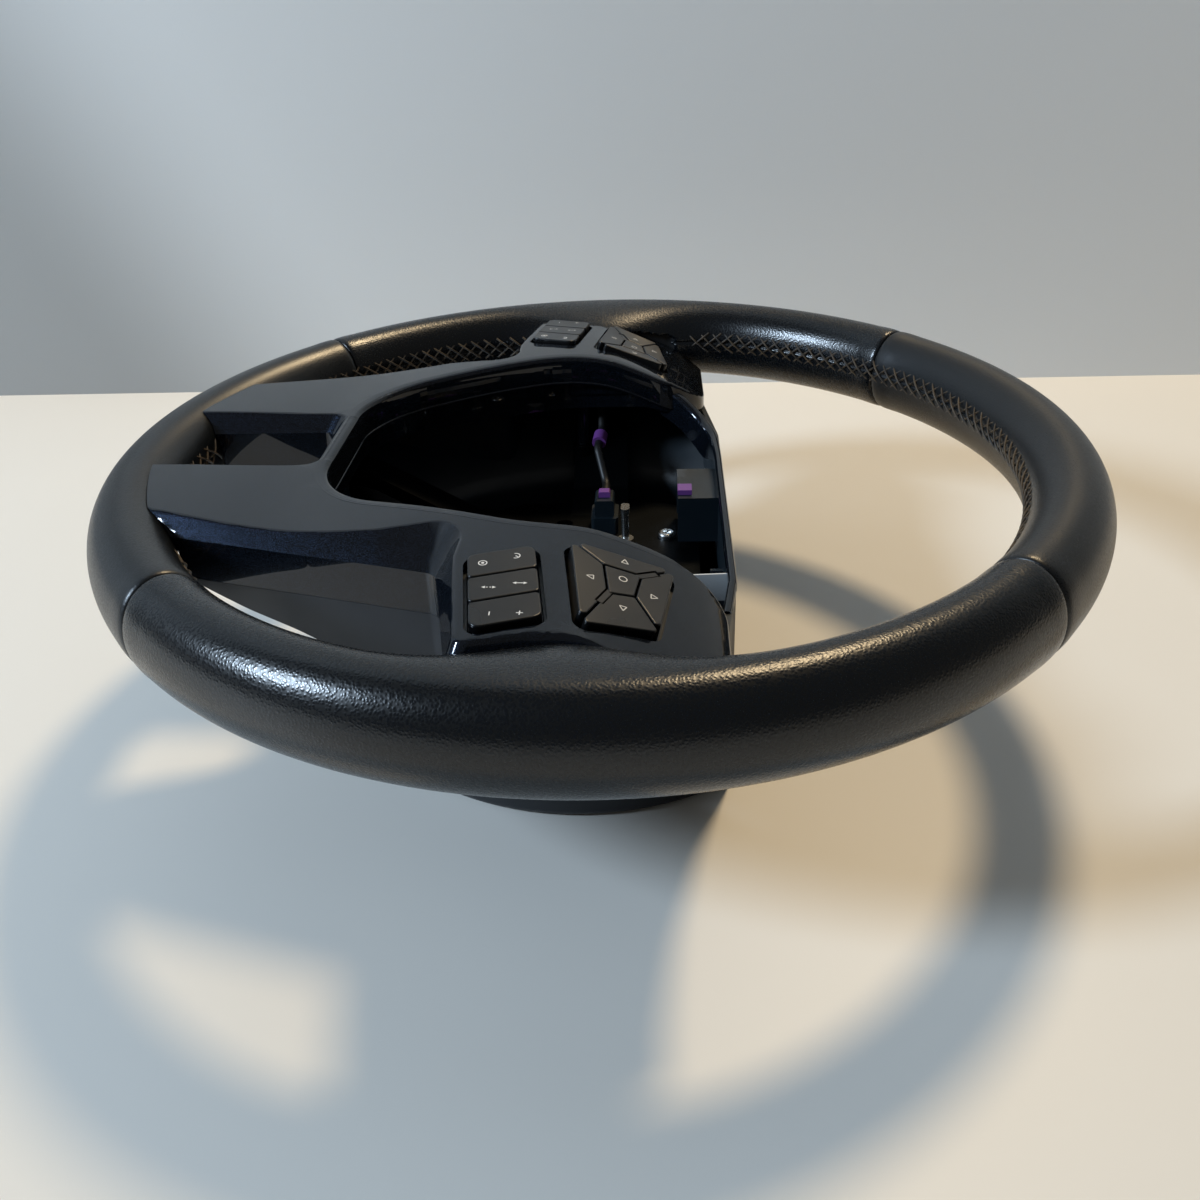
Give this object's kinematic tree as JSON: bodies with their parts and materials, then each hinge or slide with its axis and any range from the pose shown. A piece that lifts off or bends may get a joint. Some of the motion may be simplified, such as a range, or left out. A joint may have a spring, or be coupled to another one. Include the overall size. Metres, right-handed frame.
{
  "type": "steering wheel",
  "caption": "Leather-covered vehicle steering wheel with switch pads on its side spokes, a gloss trim face, an open airbag bay and a bucket-shaped rear cover.",
  "frame": {"origin": "on the hub axis, in the plane that the rear cover rests on", "axes": "+X to the driver's right, +Y to 12 o'clock, +Z along the column to the driver"},
  "size_m": [0.45, 0.45, 0.1383],
  "materials": {
    "armature_alloy": "cast, black coated",
    "foam": "skinned foam",
    "leather_pebble": "coarse pebble grain, satin",
    "leather_smooth": "fine grain, satin",
    "trim_gloss": "metallic lacquer, gloss",
    "cover_slate": "fine spark texture, matte",
    "key_satin": "soft-touch satin",
    "housing_black": "matte",
    "silicone": "matte",
    "board_green": "lacquered",
    "lead_sleeve": "satin",
    "violet": "satin",
    "ribbon": "plain film",
    "steel": "zinc plated"
  },
  "bodies": {
    "wheel": {"armature": "armature_alloy", "rim_foam": "foam", "leather_right": "leather_pebble", "leather_left": "leather_pebble", "leather_top": "leather_smooth", "leather_bottom": "leather_smooth", "front_trim": "trim_gloss", "rear_cover": "cover_slate", "airbag_pins": "steel", "cover_screws": "steel", "trim_screws": "steel", "latch_tab": "violet", "flat_lead": "ribbon", "right_rocker_housing": "housing_black", "right_rocker_mat": "silicone", "right_rocker_board": "board_green", "right_nav_housing": "housing_black", "right_nav_mat": "silicone", "right_nav_board": "board_green", "right_lead": "lead_sleeve", "right_lead_clip": "violet", "right_hub_socket": "housing_black", "right_hub_plug": "housing_black", "right_plug_lock": "violet", "left_rocker_housing": "housing_black", "left_rocker_mat": "silicone", "left_rocker_board": "board_green", "left_nav_housing": "housing_black", "left_nav_mat": "silicone", "left_nav_board": "board_green", "left_lead": "lead_sleeve", "left_lead_clip": "violet", "left_hub_socket": "housing_black", "left_hub_plug": "housing_black", "left_plug_lock": "violet"},
    "right_inner_rocker_body": {"right_inner_rocker": "key_satin"},
    "right_middle_rocker_body": {"right_middle_rocker": "key_satin"},
    "right_outer_rocker_body": {"right_outer_rocker": "key_satin"},
    "right_down_key_body": {"right_down_key": "key_satin"},
    "right_rim_key_body": {"right_rim_key": "key_satin"},
    "right_up_key_body": {"right_up_key": "key_satin"},
    "right_hub_key_body": {"right_hub_key": "key_satin"},
    "right_ok_key_body": {"right_ok_key": "key_satin"},
    "left_inner_rocker_body": {"left_inner_rocker": "key_satin"},
    "left_middle_rocker_body": {"left_middle_rocker": "key_satin"},
    "left_outer_rocker_body": {"left_outer_rocker": "key_satin"},
    "left_down_key_body": {"left_down_key": "key_satin"},
    "left_rim_key_body": {"left_rim_key": "key_satin"},
    "left_up_key_body": {"left_up_key": "key_satin"},
    "left_hub_key_body": {"left_hub_key": "key_satin"},
    "left_ok_key_body": {"left_ok_key": "key_satin"}
  },
  "joints": [
    {"name": "right_inner_rocker_tilt", "type": "hinge", "parent": "wheel", "child": "right_inner_rocker_body", "pos_m": [0.13259, -0.02883, 0.13265], "axis": [0.9879, 0.1391, -0.0681], "range_deg": [-3, 3], "stiffness_Nm_per_rad": 0.6},
    {"name": "right_middle_rocker_tilt", "type": "hinge", "parent": "wheel", "child": "right_middle_rocker_body", "pos_m": [0.148, -0.02667, 0.13159], "axis": [0.9879, 0.1391, -0.0681], "range_deg": [-3, 3], "stiffness_Nm_per_rad": 0.6},
    {"name": "right_outer_rocker_tilt", "type": "hinge", "parent": "wheel", "child": "right_outer_rocker_body", "pos_m": [0.16342, -0.02449, 0.13052], "axis": [0.9879, 0.1391, -0.0681], "range_deg": [-3, 3], "stiffness_Nm_per_rad": 0.6},
    {"name": "right_down_key_press", "type": "slide", "parent": "wheel", "child": "right_down_key_body", "axis": [0.0564, 0.3539, 0.9336], "range_m": [-0.0012, 0], "stiffness_N_per_m": 800, "springref_m": 0.0004},
    {"name": "right_rim_key_press", "type": "slide", "parent": "wheel", "child": "right_rim_key_body", "axis": [0.0564, 0.3539, 0.9336], "range_m": [-0.0012, 0], "stiffness_N_per_m": 800, "springref_m": 0.0004},
    {"name": "right_up_key_press", "type": "slide", "parent": "wheel", "child": "right_up_key_body", "axis": [0.0564, 0.3539, 0.9336], "range_m": [-0.0012, 0], "stiffness_N_per_m": 800, "springref_m": 0.0004},
    {"name": "right_hub_key_press", "type": "slide", "parent": "wheel", "child": "right_hub_key_body", "axis": [0.0564, 0.3539, 0.9336], "range_m": [-0.0012, 0], "stiffness_N_per_m": 800, "springref_m": 0.0004},
    {"name": "right_ok_key_press", "type": "slide", "parent": "wheel", "child": "right_ok_key_body", "axis": [0.0564, 0.3539, 0.9336], "range_m": [-0.0012, 0], "stiffness_N_per_m": 800, "springref_m": 0.0004},
    {"name": "left_inner_rocker_tilt", "type": "hinge", "parent": "wheel", "child": "left_inner_rocker_body", "pos_m": [-0.13259, -0.02883, 0.13265], "axis": [0.9879, -0.1391, 0.0681], "range_deg": [-3, 3], "stiffness_Nm_per_rad": 0.6},
    {"name": "left_middle_rocker_tilt", "type": "hinge", "parent": "wheel", "child": "left_middle_rocker_body", "pos_m": [-0.148, -0.02667, 0.13159], "axis": [0.9879, -0.1391, 0.0681], "range_deg": [-3, 3], "stiffness_Nm_per_rad": 0.6},
    {"name": "left_outer_rocker_tilt", "type": "hinge", "parent": "wheel", "child": "left_outer_rocker_body", "pos_m": [-0.16342, -0.02449, 0.13052], "axis": [0.9879, -0.1391, 0.0681], "range_deg": [-3, 3], "stiffness_Nm_per_rad": 0.6},
    {"name": "left_down_key_press", "type": "slide", "parent": "wheel", "child": "left_down_key_body", "axis": [-0.0564, 0.3539, 0.9336], "range_m": [-0.0012, 0], "stiffness_N_per_m": 800, "springref_m": 0.0004},
    {"name": "left_rim_key_press", "type": "slide", "parent": "wheel", "child": "left_rim_key_body", "axis": [-0.0564, 0.3539, 0.9336], "range_m": [-0.0012, 0], "stiffness_N_per_m": 800, "springref_m": 0.0004},
    {"name": "left_up_key_press", "type": "slide", "parent": "wheel", "child": "left_up_key_body", "axis": [-0.0564, 0.3539, 0.9336], "range_m": [-0.0012, 0], "stiffness_N_per_m": 800, "springref_m": 0.0004},
    {"name": "left_hub_key_press", "type": "slide", "parent": "wheel", "child": "left_hub_key_body", "axis": [-0.0564, 0.3539, 0.9336], "range_m": [-0.0012, 0], "stiffness_N_per_m": 800, "springref_m": 0.0004},
    {"name": "left_ok_key_press", "type": "slide", "parent": "wheel", "child": "left_ok_key_body", "axis": [-0.0564, 0.3539, 0.9336], "range_m": [-0.0012, 0], "stiffness_N_per_m": 800, "springref_m": 0.0004}
  ]
}
